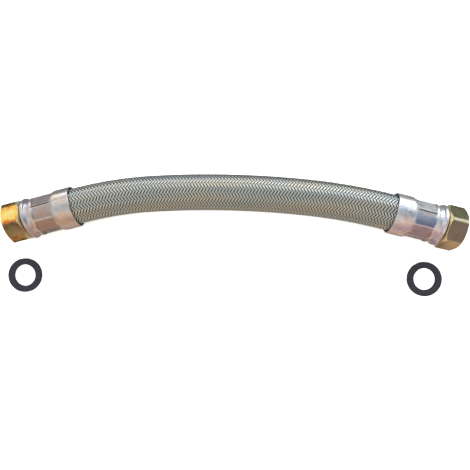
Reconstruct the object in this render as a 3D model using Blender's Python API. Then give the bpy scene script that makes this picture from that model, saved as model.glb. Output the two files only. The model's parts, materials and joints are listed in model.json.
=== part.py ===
# Braided heating hose with a crimped ferrule and a swivelling union nut at each end,
# lying on the floor in its gentle bend, with its two loose sealing rings in front of it.
# Sizes are in millimetres and degrees. MM turns them into Blender's metres.

import math

import bmesh
import bpy
from mathutils import Matrix, Vector

MM = 0.001
CLEARANCE = 0.3            # gap kept between two pieces that touch on the real hose

# Hose as a whole
FACE_TO_FACE = 400.0       # along the middle line, from one sealing face to the other
LEFT_BEND = 12.0           # angle that the hose turns through in its bend beside the left ferrule
MIDDLE_BEND = 10.0         # the same in the long and gentle bend in between
RIGHT_BEND = 8.4           # and in its bend beside the right ferrule
END_BEND_LENGTH = 72.0     # along the hose, of each of the two bends beside the ferrules
STRAIGHT_LEAD = 1.3        # straight stretch of hose just outside each ferrule

HOSE_WALL = 4.65           # from the tail's barbs to the outside of the braid

# Jacket of braided steel wire
BRAID_DIAMETER = 34.0
BRAID_THICKNESS = 1.0
WEAVE_DEPTH = 0.5          # how far the hollows between the crossing wire bundles go in
WEAVE_PITCH = 3.7          # along the hose, from one row of crossings to the next
WEAVE_SIDES = 24           # crossings in a row, around the hose
SQUEEZED_BRAID = 0.5       # its thickness under the crimp

# Rubber liner, which follows the tail's barbs inside and the braid outside
LINER_ROW = 16.0           # length of one straight facet of the bent liner
SQUEEZED_LINER = 1.74      # its thickness under the crimp

# Brass tail inside the hose
BARB_DEPTH = 0.85
BARB_COUNT = 5
BARB_PITCH = 6.2
TAIL_COLLAR = 4.0          # plain stretch between the ferrule's groove and the first barb
TAIL_TIP = 4.9             # plain stretch behind the last barb
TAIL_GROOVE_DEPTH = 1.05
TAIL_WALL = 1.1            # left between the groove and the bore
FLANGE_THICKNESS = 2.5
FLANGE_CHAMFER = 0.4

# Crimped ferrule, measured from its front end, which faces the nut
FERRULE_LENGTH = 45.0
CRIMP_LENGTH = 17.2
CRIMP_WALL = 1.1
CRIMP_JAWS = 8
CRIMP_RIDGE = 1.1          # how far the ridges stand above the flats between them
CRIMP_TURN = 30.0          # a ridge of each ferrule, from the top towards the front
LIP_RISE = 2.35            # above the flats
LIP_WIDTH = 3.1
LIP_ROUNDING = 0.6
GROOVE_RISE = 0.35         # the groove's floor, above the flats
GROOVE_WIDTH = 4.2
SHOULDER_WIDTH = 3.0
FLARE_LENGTH = 4.0
BELL_WALL = 1.2
BELL_ROOM = 0.95           # between the braid and the bell around it
FERRULE_END_WALL = 2.0

# Union nut for a one inch pipe thread
THREAD_BORE = 30.3         # over the thread's crests
RELIEF_DEPTH = 1.65        # of the wider bore behind the thread, where the sealing ring sits
RELIEF_LENGTH = 5.7
MOUTH_DEPTH = 1.9
MOUTH_CHAMFER = 2.1
NUT_SIDES = 6
NUT_WALL = 1.2             # left between the relief and a flat
NUT_LENGTH = 16.5
NUT_LIP = 2.5              # back wall that pulls on the tail's flange
NUT_CHAMFER_ANGLE = 30.0
NUT_BACK_CHAMFER = 0.6     # how far the chamfer on the hose side goes in from the flats
NUT_FRONT_CHAMFER = 2.9    # how far the one on the open side goes in from the corners
SWIVEL_GAP = 1.2           # between the nut and the ferrule
LEFT_NUT_TURN = 9.0        # a corner of the left nut, off the lowest point of its body
RIGHT_NUT_TURN = 17.6      # the same on the right nut

# Loose sealing rings, flat on the floor
RING_OUTSIDE = 33.0
RING_HOLE = 21.0
RING_THICKNESS = 2.5
RING_EDGE = 0.25
LEFT_RING_FORWARD = 49.4   # from the middle of the nut's open end, towards the front
LEFT_RING_INWARD = 4.0     # the same, towards the middle of the hose
RIGHT_RING_FORWARD = 46.7
RIGHT_RING_INWARD = 22.0

ROUND_SIDES = 32           # facets around a turned piece
SAME_POINT = 0.0001        # corners closer than this are one corner

# Sizes that follow from the ones above
BRAID_RADIUS = BRAID_DIAMETER / 2
BRAID_INSIDE = BRAID_RADIUS - BRAID_THICKNESS
BARB_DIAMETER = BRAID_DIAMETER - 2 * HOSE_WALL
LINER_RADIUS = BRAID_INSIDE - CLEARANCE
LINER_INSIDE = (BARB_DIAMETER / 2 + CLEARANCE) / math.cos(math.pi / WEAVE_SIDES)
SQUEEZED_LINER_RADIUS = LINER_INSIDE + SQUEEZED_LINER
SQUEEZED_RADIUS = SQUEEZED_LINER_RADIUS + CLEARANCE + SQUEEZED_BRAID
CRIMP_INSIDE = SQUEEZED_RADIUS + CLEARANCE
CRIMP_FLATS = 2 * (CRIMP_INSIDE + CRIMP_WALL)    # across opposite flats
CRIMP_DIAMETER = CRIMP_FLATS + 2 * CRIMP_RIDGE
LIP_DIAMETER = CRIMP_FLATS + 2 * LIP_RISE
GROOVE_DIAMETER = CRIMP_FLATS + 2 * GROOVE_RISE
BELL_INSIDE = BRAID_RADIUS + BELL_ROOM
BELL_DIAMETER = 2 * (BELL_INSIDE + BELL_WALL)
TAIL_BORE = BARB_DIAMETER - 2 * (TAIL_GROOVE_DEPTH + TAIL_WALL)
FLANGE_DIAMETER = THREAD_BORE - 2 * CLEARANCE
RELIEF_BORE = THREAD_BORE + 2 * RELIEF_DEPTH
MOUTH_BORE = THREAD_BORE + 2 * MOUTH_DEPTH
NUT_FLATS = RELIEF_BORE + 2 * NUT_WALL
NUT_CORNER = NUT_FLATS / 2 / math.cos(math.pi / NUT_SIDES)
NUT_BACK_FACE = NUT_FLATS - 2 * NUT_BACK_CHAMFER
NUT_FRONT_FACE = 2 * (NUT_CORNER - NUT_FRONT_CHAMFER)
FERRULE_FRONT = -(FLANGE_THICKNESS + CLEARANCE + NUT_LIP + SWIVEL_GAP)   # all from the sealing face
FERRULE_RIM = FERRULE_FRONT - FERRULE_LENGTH
CRIMP_START = FERRULE_FRONT - LIP_WIDTH - GROOVE_WIDTH - SHOULDER_WIDTH
CRIMP_END = CRIMP_START - CRIMP_LENGTH
BELL_START = CRIMP_END - FLARE_LENGTH
HOSE_END = FERRULE_FRONT - FERRULE_END_WALL - CLEARANCE
BARBS_START = HOSE_END - TAIL_COLLAR
TAIL_END = BARBS_START - BARB_COUNT * BARB_PITCH - TAIL_TIP
NUT_BACK = -(FLANGE_THICKNESS + CLEARANCE + NUT_LIP)
NUT_FRONT = NUT_BACK + NUT_LENGTH

RIM_FROM_MIDDLE = FACE_TO_FACE / 2 + FERRULE_RIM
MIDDLE_BEND_HALF = RIM_FROM_MIDDLE - STRAIGHT_LEAD - END_BEND_LENGTH

PIECE_COLOURS = {          # base colour, metallic, roughness
    "black_rubber": ((0.030, 0.030, 0.032), 0.0, 0.70),
    "braided_steel": ((0.42, 0.43, 0.41), 0.9, 0.38),
    "pressed_steel": ((0.62, 0.60, 0.60), 0.9, 0.32),
    "turned_brass": ((0.72, 0.52, 0.22), 0.9, 0.30),
    "golden_nut": ((0.66, 0.45, 0.16), 0.9, 0.34),
    "ring_rubber": ((0.055, 0.055, 0.065), 0.0, 0.80),
}


def clear_scene():
    for thing in list(bpy.data.objects):
        bpy.data.objects.remove(thing, do_unlink=True)


def material(name):
    if name in bpy.data.materials:
        return bpy.data.materials[name]
    colour, metallic, roughness = PIECE_COLOURS[name]
    made = bpy.data.materials.new(name)
    made.use_nodes = True
    shader = made.node_tree.nodes["Principled BSDF"]
    shader.inputs["Base Color"].default_value = (*colour, 1.0)
    shader.inputs["Metallic"].default_value = metallic
    shader.inputs["Roughness"].default_value = roughness
    return made


def empty(name, parent=None, place=None):
    made = bpy.data.objects.new(name, None)
    bpy.context.collection.objects.link(made)
    made.parent = parent
    if place:
        made.matrix_local = place
    return made


def piece(name, mesh_parts, material_name, parent=None):
    """Turn a bmesh into a named object with its own material."""
    bmesh.ops.recalc_face_normals(mesh_parts, faces=mesh_parts.faces)
    mesh = bpy.data.meshes.new(name)
    mesh_parts.to_mesh(mesh)
    mesh_parts.free()
    mesh.materials.append(material(material_name))
    made = bpy.data.objects.new(name, mesh)
    bpy.context.collection.objects.link(made)
    made.parent = parent
    return made


def turned(outline, sides=ROUND_SIDES, turn=0.0):
    """Spin a closed outline of (along, radius) points about Z. turn is the first corner's angle from X."""
    made = bmesh.new()
    corners = [made.verts.new((radius * MM, 0.0, along * MM)) for along, radius in outline]
    edges = [made.edges.new((corners[i - 1], corners[i])) for i in range(len(corners))]
    bmesh.ops.rotate(made, verts=corners, cent=(0, 0, 0), matrix=Matrix.Rotation(math.radians(turn), 3, "Z"))
    bmesh.ops.spin(made, geom=corners + edges, cent=(0, 0, 0), axis=(0, 0, 1),
                   angle=2 * math.pi, steps=sides, use_merge=True)
    bmesh.ops.remove_doubles(made, verts=made.verts, dist=SAME_POINT * MM)
    return made


def cut(target, tool, operation):
    """Give target a Boolean with tool, and keep the tool out of the model."""
    tool.hide_render = True
    tool.display_type = "WIRE"
    change = target.modifiers.new(tool.name, "BOOLEAN")
    change.operation = operation
    change.solver = "EXACT"
    change.object = tool


def after_arc(point, length, start, end):
    """Where an arc ends that sets out from a point and turns from one angle to another."""
    if abs(end - start) < SAME_POINT:
        return point + Vector((math.cos(start), -math.sin(start), 0)) * length
    reach = Vector((math.sin(end) - math.sin(start), math.cos(end) - math.cos(start), 0))
    return point + reach * length / (end - start)


def bent_point(distance):
    """Point and angle of the middle line, which sets out along X from the middle of the hose."""
    end_bend = math.radians(LEFT_BEND if distance < 0 else RIGHT_BEND)
    in_middle = max(-MIDDLE_BEND_HALF, min(MIDDLE_BEND_HALF, distance))
    in_end = max(-END_BEND_LENGTH, min(END_BEND_LENGTH, distance - in_middle))
    first = math.radians(MIDDLE_BEND / 2) * in_middle / MIDDLE_BEND_HALF
    second = first + end_bend * in_end / END_BEND_LENGTH
    point = after_arc(Vector((0, 0, 0)), in_middle, 0.0, first)
    point = after_arc(point, in_end, first, second)
    return after_arc(point, distance - in_middle - in_end, second, second), second


def lay_angle():
    """How far the bent hose is turned on the floor, so that its two bells lie level with each other."""
    between = bent_point(RIM_FROM_MIDDLE)[0] - bent_point(-RIM_FROM_MIDDLE)[0]
    return -math.atan2(between.y, between.x)


def line_point(distance):
    """Point and direction of the hose's middle line, at a distance in mm from its middle."""
    point, angle = bent_point(distance)
    turn = lay_angle()
    direction = Vector((math.cos(angle - turn), -math.sin(angle - turn), 0))
    return Matrix.Rotation(turn, 3, "Z") @ point, direction


def rest_tilt():
    """How far the bend tips back until the bells and the middle of the braid touch the floor."""
    furthest_back = MIDDLE_BEND_HALF * lay_angle() / math.radians(MIDDLE_BEND / 2)
    drop = line_point(furthest_back)[0].y - line_point(RIM_FROM_MIDDLE)[0].y
    return math.asin((BELL_DIAMETER - BRAID_DIAMETER) / 2 / drop)


def end_place(side):
    """The frame of one end, on its sealing face: Z points out of the hose and X points up."""
    point, direction = line_point(side * FACE_TO_FACE / 2)
    out = direction * side
    up = Vector((0, 0, 1))
    across = out.cross(up)
    turn = Matrix((up, across, out)).transposed().to_4x4()
    return Matrix.Translation(point * MM) @ turn


def towards_front(side, degrees):
    """An angle from the top towards the front, as an angle about the end's own Z axis."""
    return side * degrees


def bore_rows(radius, rows, sides, mesh_parts):
    """Rings of corners around the middle line, one for each distance, in the given radius."""
    rings = []
    for row, distance in enumerate(rows):
        point, direction = line_point(distance)
        across = direction.cross(Vector((0, 0, 1)))
        ring = []
        for side in range(sides):
            angle = 2 * math.pi * side / sides
            spoke = across * math.sin(angle) + Vector((0, 0, 1)) * math.cos(angle)
            ring.append(mesh_parts.verts.new((point + spoke * radius(distance, row, side)) * MM))
        rings.append(ring)
    return rings


def skin(mesh_parts, rings, leaning):
    """Cover rings of corners with triangles. leaning says which way each square is split."""
    sides = len(rings[0])
    for row in range(len(rings) - 1):
        for side in range(sides):
            low, high = rings[row], rings[row + 1]
            a, b = low[side], low[(side + 1) % sides]
            c, d = high[(side + 1) % sides], high[side]
            if leaning(row, side):
                mesh_parts.faces.new((a, b, c))
                mesh_parts.faces.new((a, c, d))
            else:
                mesh_parts.faces.new((a, b, d))
                mesh_parts.faces.new((b, c, d))


def hollow_hose(outside, outside_rows, inside, inside_rows, leaning):
    """A pipe along the middle line, with its own rows of corners outside and inside."""
    made = bmesh.new()
    outer = bore_rows(outside, outside_rows, WEAVE_SIDES, made)
    inner = bore_rows(inside, inside_rows, WEAVE_SIDES, made)
    skin(made, outer, leaning)
    skin(made, inner, lambda row, side: True)
    for end in (0, -1):
        skin(made, [outer[end], inner[end]], lambda row, side: True)
    return made


def even_rows(start, end, step):
    """Distances from start to end in equal steps of about the given length."""
    count = max(2, round((end - start) / step))
    return [start + (end - start) * i / count for i in range(count + 1)]


def both_ends(from_face):
    """Distances from the middle for places measured from the sealing face, at both ends of the hose."""
    there = [FACE_TO_FACE / 2 + place for place in from_face]
    return sorted([-distance for distance in there] + there)


def squeezed(distance, free, tight):
    """A radius that goes from its free size to its size under the crimp, along the ferrule's flare."""
    from_face = abs(distance) - FACE_TO_FACE / 2
    share = (from_face - BELL_START) / (CRIMP_END - BELL_START)
    return free + (tight - free) * max(0.0, min(1.0, share))


def in_ferrule_rows():
    return [HOSE_END, CRIMP_START, CRIMP_END, BELL_START]


def make_braid(parent):
    weave_rows = even_rows(-RIM_FROM_MIDDLE, RIM_FROM_MIDDLE, WEAVE_PITCH)
    ends = both_ends(in_ferrule_rows())
    rows = sorted(ends + weave_rows)
    first = rows.index(weave_rows[0])
    last = rows.index(weave_rows[-1])

    def outside(distance, row, side):
        crest = squeezed(distance, BRAID_RADIUS, SQUEEZED_RADIUS)
        hollow = first < row < last and (row + side) % 2
        return crest - WEAVE_DEPTH if hollow else crest

    def inside(distance, row, side):
        return squeezed(distance, BRAID_INSIDE, SQUEEZED_RADIUS - SQUEEZED_BRAID)

    def leaning(row, side):
        return (row + side) % 2 == 0

    inside_rows = sorted(ends + even_rows(-RIM_FROM_MIDDLE, RIM_FROM_MIDDLE, LINER_ROW))
    parts = hollow_hose(outside, rows, inside, inside_rows, leaning)
    return piece("braid_sleeve", parts, "braided_steel", parent)


def make_liner(parent):
    rows = sorted(both_ends(in_ferrule_rows()) + even_rows(-RIM_FROM_MIDDLE, RIM_FROM_MIDDLE, LINER_ROW))

    def outside(distance, row, side):
        return squeezed(distance, LINER_RADIUS, SQUEEZED_LINER_RADIUS)

    def inside(distance, row, side):
        return LINER_INSIDE

    parts = hollow_hose(outside, rows, inside, rows, lambda row, side: True)
    return piece("inner_tube", parts, "black_rubber", parent)


def ferrule_outline():
    groove_start = FERRULE_FRONT - LIP_WIDTH
    shoulder_start = groove_start - GROOVE_WIDTH
    lip = LIP_DIAMETER / 2
    crimp = CRIMP_DIAMETER / 2
    bell = BELL_DIAMETER / 2
    hole = BARB_DIAMETER / 2 - TAIL_GROOVE_DEPTH + CLEARANCE
    return [
        (FERRULE_FRONT, hole),
        (FERRULE_FRONT, lip - LIP_ROUNDING),
        (FERRULE_FRONT - LIP_ROUNDING / 2, lip - LIP_ROUNDING / 4),
        (FERRULE_FRONT - LIP_WIDTH / 2, lip),
        (groove_start + LIP_ROUNDING / 2, lip - LIP_ROUNDING / 4),
        (groove_start, lip - LIP_ROUNDING),
        (groove_start - GROOVE_WIDTH / 5, GROOVE_DIAMETER / 2 + LIP_ROUNDING / 2),
        (groove_start - GROOVE_WIDTH / 2, GROOVE_DIAMETER / 2),
        (shoulder_start, GROOVE_DIAMETER / 2 + LIP_ROUNDING / 2),
        (shoulder_start - SHOULDER_WIDTH / 2, crimp),
        (CRIMP_START, crimp),
        (CRIMP_END, crimp),
        (BELL_START, bell),
        (FERRULE_RIM + BELL_WALL / 2, bell),
        (FERRULE_RIM, bell - BELL_WALL / 3),
        (FERRULE_RIM, BELL_INSIDE + BELL_WALL / 3),
        (FERRULE_RIM + BELL_WALL / 2, BELL_INSIDE),
        (BELL_START, BELL_INSIDE),
        (CRIMP_END, CRIMP_INSIDE),
        (HOSE_END + CLEARANCE, CRIMP_INSIDE),
        (HOSE_END + CLEARANCE, hole),
    ]


def crimp_jaws_outline():
    """The closed jaws, as a ring with one side for each jaw: what they take off becomes the flats."""
    ridge = CRIMP_FLATS / 2 / math.cos(math.pi / CRIMP_JAWS)
    clear_of_it = BELL_DIAMETER
    ramp = LIP_ROUNDING
    return [
        (CRIMP_START, clear_of_it),
        (CRIMP_START - ramp, ridge),
        (CRIMP_END + ramp, ridge),
        (CRIMP_END - ramp, clear_of_it),
    ]


def make_ferrule(name, parent, side):
    ferrule = piece(name, turned(ferrule_outline()), "pressed_steel", parent)
    turn = towards_front(side, CRIMP_TURN)
    jaws = piece(name + "_jaws", turned(crimp_jaws_outline(), CRIMP_JAWS, turn), "pressed_steel", parent)
    cut(ferrule, jaws, "DIFFERENCE")
    return ferrule


def tail_outline():
    crest = BARB_DIAMETER / 2
    root = crest - BARB_DEPTH
    groove = crest - TAIL_GROOVE_DEPTH
    flange = FLANGE_DIAMETER / 2
    bore = TAIL_BORE / 2
    groove_front = FERRULE_FRONT + CLEARANCE
    points = [
        (0.0, bore),
        (0.0, flange - FLANGE_CHAMFER),
        (-FLANGE_CHAMFER, flange),
        (-FLANGE_THICKNESS, flange),
        (-FLANGE_THICKNESS, crest),
        (groove_front, crest),
        (groove_front, groove),
        (HOSE_END, groove),
        (HOSE_END, crest),
        (BARBS_START, crest),
    ]
    for barb in range(BARB_COUNT):
        front = BARBS_START - barb * BARB_PITCH
        if barb:
            points.append((front, crest))
        points.append((front - BARB_PITCH, root))
    points += [
        (TAIL_END, root),
        (TAIL_END, bore),
    ]
    return points


def make_tail(name, parent):
    return piece(name, turned(tail_outline()), "turned_brass", parent)


def nut_bore_outline():
    """What the lathe takes out of the nut, from behind its lip to in front of its mouth."""
    past = NUT_LENGTH
    lip_hole = BARB_DIAMETER / 2 + CLEARANCE
    lip_front = NUT_BACK + NUT_LIP
    relief_end = lip_front + RELIEF_LENGTH
    step = (RELIEF_BORE - THREAD_BORE) / 2
    return [
        (NUT_BACK - past, 0.0),
        (NUT_BACK - past, lip_hole),
        (lip_front, lip_hole),
        (lip_front, RELIEF_BORE / 2),
        (relief_end, RELIEF_BORE / 2),
        (relief_end + step, THREAD_BORE / 2),
        (NUT_FRONT - MOUTH_CHAMFER, THREAD_BORE / 2),
        (NUT_FRONT, MOUTH_BORE / 2),
        (NUT_FRONT + past, MOUTH_BORE / 2),
        (NUT_FRONT + past, 0.0),
    ]


def nut_turning_outline():
    """The turned blank whose two cones chamfer the corners of the hexagon."""
    slope = math.tan(math.radians(NUT_CHAMFER_ANGLE))
    beyond = NUT_CORNER * 1.2
    back = NUT_BACK_FACE / 2
    front = NUT_FRONT_FACE / 2
    return [
        (NUT_BACK, 0.0),
        (NUT_BACK, back),
        (NUT_BACK + (beyond - back) * slope, beyond),
        (NUT_FRONT - (beyond - front) * slope, beyond),
        (NUT_FRONT, front),
        (NUT_FRONT, 0.0),
    ]


def hexagon_outline():
    return [
        (NUT_BACK - NUT_LIP, 0.0),
        (NUT_BACK - NUT_LIP, NUT_CORNER),
        (NUT_FRONT + NUT_LIP, NUT_CORNER),
        (NUT_FRONT + NUT_LIP, 0.0),
    ]


def make_nut(name, parent, side, corner):
    """A hexagonal nut. corner is one corner's angle from the top towards the front."""
    hexagon = turned(hexagon_outline(), NUT_SIDES, towards_front(side, corner))
    nut = piece(name, hexagon, "golden_nut", parent)
    blank = piece(name + "_turning", turned(nut_turning_outline(), 2 * ROUND_SIDES), "golden_nut", parent)
    bore = piece(name + "_bore", turned(nut_bore_outline()), "golden_nut", parent)
    cut(nut, blank, "INTERSECT")
    cut(nut, bore, "DIFFERENCE")
    return nut


def ring_outline():
    inside = RING_HOLE / 2
    outside = RING_OUTSIDE / 2
    top = RING_THICKNESS
    return [
        (RING_EDGE, inside),
        (0.0, inside + RING_EDGE),
        (0.0, outside - RING_EDGE),
        (RING_EDGE, outside),
        (top - RING_EDGE, outside),
        (top, outside - RING_EDGE),
        (top, inside + RING_EDGE),
        (top - RING_EDGE, inside),
    ]


def make_ring(name, side, inward, forward):
    """A loose sealing ring, flat on the floor in front of its end of the hose."""
    ring = piece(name, turned(ring_outline()), "ring_rubber")
    tip = line_point(side * (FACE_TO_FACE / 2 + NUT_FRONT))[0]
    ring.location = Vector((tip.x - side * inward, tip.y - forward, 0)) * MM
    return ring


def make_end(side_name, side, nut_turn, hose):
    """One end's tail, ferrule and nut, set by where down is for an end of the tipped hose."""
    place = empty(side_name + "_end", hose, end_place(side))
    direction = line_point(side * FACE_TO_FACE / 2)[1]
    down = math.degrees(math.atan(math.tan(rest_tilt()) * direction.x))
    make_tail(side_name + "_tail", place)
    make_ferrule(side_name + "_ferrule", place, side)
    make_nut(side_name + "_nut", place, side, down - side * nut_turn)


def lowest(names):
    """The lowest corner of the named pieces, in metres."""
    bpy.context.view_layer.update()
    seen = bpy.context.evaluated_depsgraph_get()
    heights = []
    for name in names:
        made = bpy.data.objects[name].evaluated_get(seen)
        heights += [(made.matrix_world @ corner.co).z for corner in made.data.vertices]
    return min(heights)


def set_on_floor(hose, rings):
    """Put the hose's lowest corner on the floor, and the middle of everything over the origin."""
    on_hose = [thing.name for thing in hose.children_recursive if thing.type == "MESH" and not thing.hide_render]
    hose.location.z -= lowest(on_hose)
    bpy.context.view_layer.update()
    seen = bpy.context.evaluated_depsgraph_get()
    corners = []
    for name in on_hose + [ring.name for ring in rings]:
        made = bpy.data.objects[name].evaluated_get(seen)
        corners += [made.matrix_world @ corner.co for corner in made.data.vertices]
    for axis in (0, 1):
        values = [corner[axis] for corner in corners]
        middle = (min(values) + max(values)) / 2
        for thing in [hose] + rings:
            thing.location[axis] -= middle


def build():
    clear_scene()
    hose = empty("hose_at_rest")
    hose.rotation_euler.x = -rest_tilt()
    make_liner(hose)
    make_braid(hose)
    make_end("left", -1, LEFT_NUT_TURN, hose)
    make_end("right", 1, RIGHT_NUT_TURN, hose)
    rings = [
        make_ring("left_ring", -1, LEFT_RING_INWARD, LEFT_RING_FORWARD),
        make_ring("right_ring", 1, RIGHT_RING_INWARD, RIGHT_RING_FORWARD),
    ]
    set_on_floor(hose, rings)


build()
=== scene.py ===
import json
import math

import bpy
import numpy as np
from mathutils import Matrix, Vector


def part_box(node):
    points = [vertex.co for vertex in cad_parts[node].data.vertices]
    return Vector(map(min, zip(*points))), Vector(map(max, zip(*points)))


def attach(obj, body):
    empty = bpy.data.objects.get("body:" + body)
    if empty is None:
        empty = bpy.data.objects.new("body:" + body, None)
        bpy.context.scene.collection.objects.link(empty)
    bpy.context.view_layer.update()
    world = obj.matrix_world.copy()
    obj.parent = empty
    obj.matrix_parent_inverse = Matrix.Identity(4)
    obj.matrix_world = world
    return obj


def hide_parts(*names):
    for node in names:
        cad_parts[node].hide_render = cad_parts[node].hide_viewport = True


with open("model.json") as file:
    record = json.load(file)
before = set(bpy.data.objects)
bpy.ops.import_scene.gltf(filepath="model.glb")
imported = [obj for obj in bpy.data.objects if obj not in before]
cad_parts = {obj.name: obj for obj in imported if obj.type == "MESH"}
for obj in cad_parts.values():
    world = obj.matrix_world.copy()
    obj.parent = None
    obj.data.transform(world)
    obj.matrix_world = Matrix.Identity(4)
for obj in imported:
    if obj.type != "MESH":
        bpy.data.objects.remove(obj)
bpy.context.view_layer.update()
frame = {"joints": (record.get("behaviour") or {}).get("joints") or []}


# The table and the light. The hose is photographed from straight above on a white table, under
# two large soft lamps. The bright steel and the golden nuts show the room around them, so the
# room is painted as soft bands that wrap the hose.

FLOOR_SIZE = 6.0
FLOOR_DROP = 0.0002           # the table lies this far under the floor of the frame
CAMERA_PLACE = Vector((0.01587, -0.00634, 0.40495))
CAMERA_LOOK = Vector((-0.02355, 0.02082, -0.99951))
PICTURE_UP = Vector((-0.02199, 0.99953, 0.02134))
PICTURE_WIDTH = 470
FOCAL_PIXELS = 413.55
SENSOR_WIDTH = 36.0

bpy.ops.mesh.primitive_plane_add(size=FLOOR_SIZE, location=(0, 0, -FLOOR_DROP))
floor = bpy.context.object
floor.name = "table_top"
floor.visible_glossy = False


def new_finish(name):
    """A material, with its nodes, links and shader."""
    made = bpy.data.materials.new(name)
    made.use_nodes = True
    nodes = made.node_tree.nodes
    return made, nodes, made.node_tree.links, nodes["Principled BSDF"]


white_table, nodes, links, shader = new_finish("white_table")
shader.inputs["Base Color"].default_value = (0.90, 0.90, 0.895, 1)
shader.inputs["Roughness"].default_value = 0.9
shader.inputs["Specular IOR Level"].default_value = 0.1
floor.data.materials.append(white_table)

# Around the hose's length, from straight down, by the back, the top and the front, to straight
# down again: how the room looks towards its left side and towards its right side.
ROOM_LEFT = (
    (0.000, (0.26, 0.26, 0.27)),
    (0.160, (0.26, 0.27, 0.29)),
    (0.235, (0.30, 0.31, 0.33)),
    (0.256, (1.70, 1.73, 1.80)),
    (0.290, (1.70, 1.70, 1.75)),
    (0.325, (0.70, 0.70, 0.72)),
    (0.374, (1.05, 1.00, 0.93)),
    (0.430, (0.95, 0.90, 0.82)),
    (0.500, (0.70, 0.70, 0.68)),
    (0.570, (0.85, 0.86, 0.85)),
    (0.650, (0.68, 0.63, 0.56)),
    (0.720, (0.55, 0.48, 0.40)),
    (0.800, (0.80, 0.70, 0.58)),
    (0.880, (0.52, 0.47, 0.42)),
    (1.000, (0.26, 0.26, 0.27)),
)
ROOM_RIGHT = (
    (0.000, (0.26, 0.26, 0.27)),
    (0.160, (0.30, 0.32, 0.34)),
    (0.235, (0.34, 0.36, 0.38)),
    (0.256, (2.10, 2.15, 2.25)),
    (0.300, (2.10, 2.13, 2.20)),
    (0.360, (1.60, 1.60, 1.60)),
    (0.400, (0.95, 0.98, 1.02)),
    (0.450, (0.42, 0.46, 0.50)),
    (0.520, (0.38, 0.39, 0.42)),
    (0.570, (0.80, 0.73, 0.66)),
    (0.630, (0.95, 0.82, 0.64)),
    (0.700, (0.52, 0.44, 0.44)),
    (0.780, (0.60, 0.51, 0.43)),
    (0.850, (0.72, 0.60, 0.48)),
    (1.000, (0.26, 0.26, 0.27)),
)
SIDE_CHANGE = 0.55            # how far to either side the two looks blend into each other
FADE_FROM = 0.72              # how far to either side the bands start to fade
FADE_TO = 0.94
FADED_ROOM = (0.66, 0.65, 0.62)
LAMP_COLOUR = (1.0, 0.99, 0.98)
LAMPS = (                     # name, place, size and power
    ("soft_back", (0.1, 0.9, 1.1), 1.8, 22.0),
    ("soft_top", (0.0, -0.3, 1.5), 2.6, 48.0),
)


def colour_by(nodes, links, value, stops, change="LINEAR"):
    """Colours for a value from 0 to 1, each at its place in that range."""
    ramp = nodes.new("ShaderNodeValToRGB")
    ramp.color_ramp.interpolation = change
    marks = ramp.color_ramp.elements
    while len(marks) > 1:
        marks.remove(marks[-1])
    marks[0].position = stops[0][0]
    marks[0].color = (*stops[0][1], 1)
    for place, colour in stops[1:]:
        marks.new(place).color = (*colour, 1)
    links.new(value, ramp.inputs[0])
    return ramp.outputs[0]


def spread(nodes, links, value, low=0.0, high=1.0, from_low=0.0, from_high=1.0, change="LINEAR"):
    """Stretch a value from one range to another."""
    made = nodes.new("ShaderNodeMapRange")
    made.interpolation_type = change
    made.inputs["From Min"].default_value = from_low
    made.inputs["From Max"].default_value = from_high
    made.inputs["To Min"].default_value = low
    made.inputs["To Max"].default_value = high
    links.new(value, made.inputs["Value"])
    return made.outputs[0]


world = bpy.data.worlds.new("studio_room")
bpy.context.scene.world = world
world.use_nodes = True
nodes = world.node_tree.nodes
links = world.node_tree.links
looking = nodes.new("ShaderNodeTexCoord")
split = nodes.new("ShaderNodeSeparateXYZ")
links.new(looking.outputs["Generated"], split.inputs[0])
upside = nodes.new("ShaderNodeMath")
upside.operation = "MULTIPLY"
upside.inputs[1].default_value = -1.0
links.new(split.outputs["Y"], upside.inputs[0])
around = nodes.new("ShaderNodeMath")
around.operation = "ARCTAN2"
links.new(upside.outputs[0], around.inputs[0])
links.new(split.outputs["Z"], around.inputs[1])
turns = spread(nodes, links, around.outputs[0], from_low=-math.pi, from_high=math.pi)
sideways = spread(
    nodes, links, split.outputs["X"],
    from_low=-SIDE_CHANGE, from_high=SIDE_CHANGE, change="SMOOTHSTEP",
)
room = nodes.new("ShaderNodeMix")
room.data_type = "RGBA"
links.new(sideways, room.inputs["Factor"])
links.new(colour_by(nodes, links, turns, ROOM_LEFT, "EASE"), room.inputs["A"])
links.new(colour_by(nodes, links, turns, ROOM_RIGHT, "EASE"), room.inputs["B"])
# The bands would all meet in a point at either end of the hose, so they fade out before it.
to_the_side = nodes.new("ShaderNodeMath")
to_the_side.operation = "ABSOLUTE"
links.new(split.outputs["X"], to_the_side.inputs[0])
near_end = spread(
    nodes, links, to_the_side.outputs[0],
    from_low=FADE_FROM, from_high=FADE_TO, change="SMOOTHSTEP",
)
faded_room = nodes.new("ShaderNodeMix")
faded_room.data_type = "RGBA"
faded_room.inputs["B"].default_value = (*FADED_ROOM, 1)
links.new(near_end, faded_room.inputs["Factor"])
links.new(room.outputs["Result"], faded_room.inputs["A"])
links.new(faded_room.outputs["Result"], nodes["Background"].inputs["Color"])
nodes["Background"].inputs["Strength"].default_value = 1.0

for name, place, size, power in LAMPS:
    bpy.ops.object.light_add(type="AREA", location=place)
    lamp = bpy.context.object
    lamp.name = name
    lamp.data.shape = "DISK"
    lamp.data.size = size
    lamp.data.energy = power
    lamp.data.color = LAMP_COLOUR
    lamp.rotation_euler = (-Vector(place)).to_track_quat("-Z", "Y").to_euler()
    lamp.visible_glossy = False

bpy.context.scene.view_settings.view_transform = "Standard"

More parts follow.
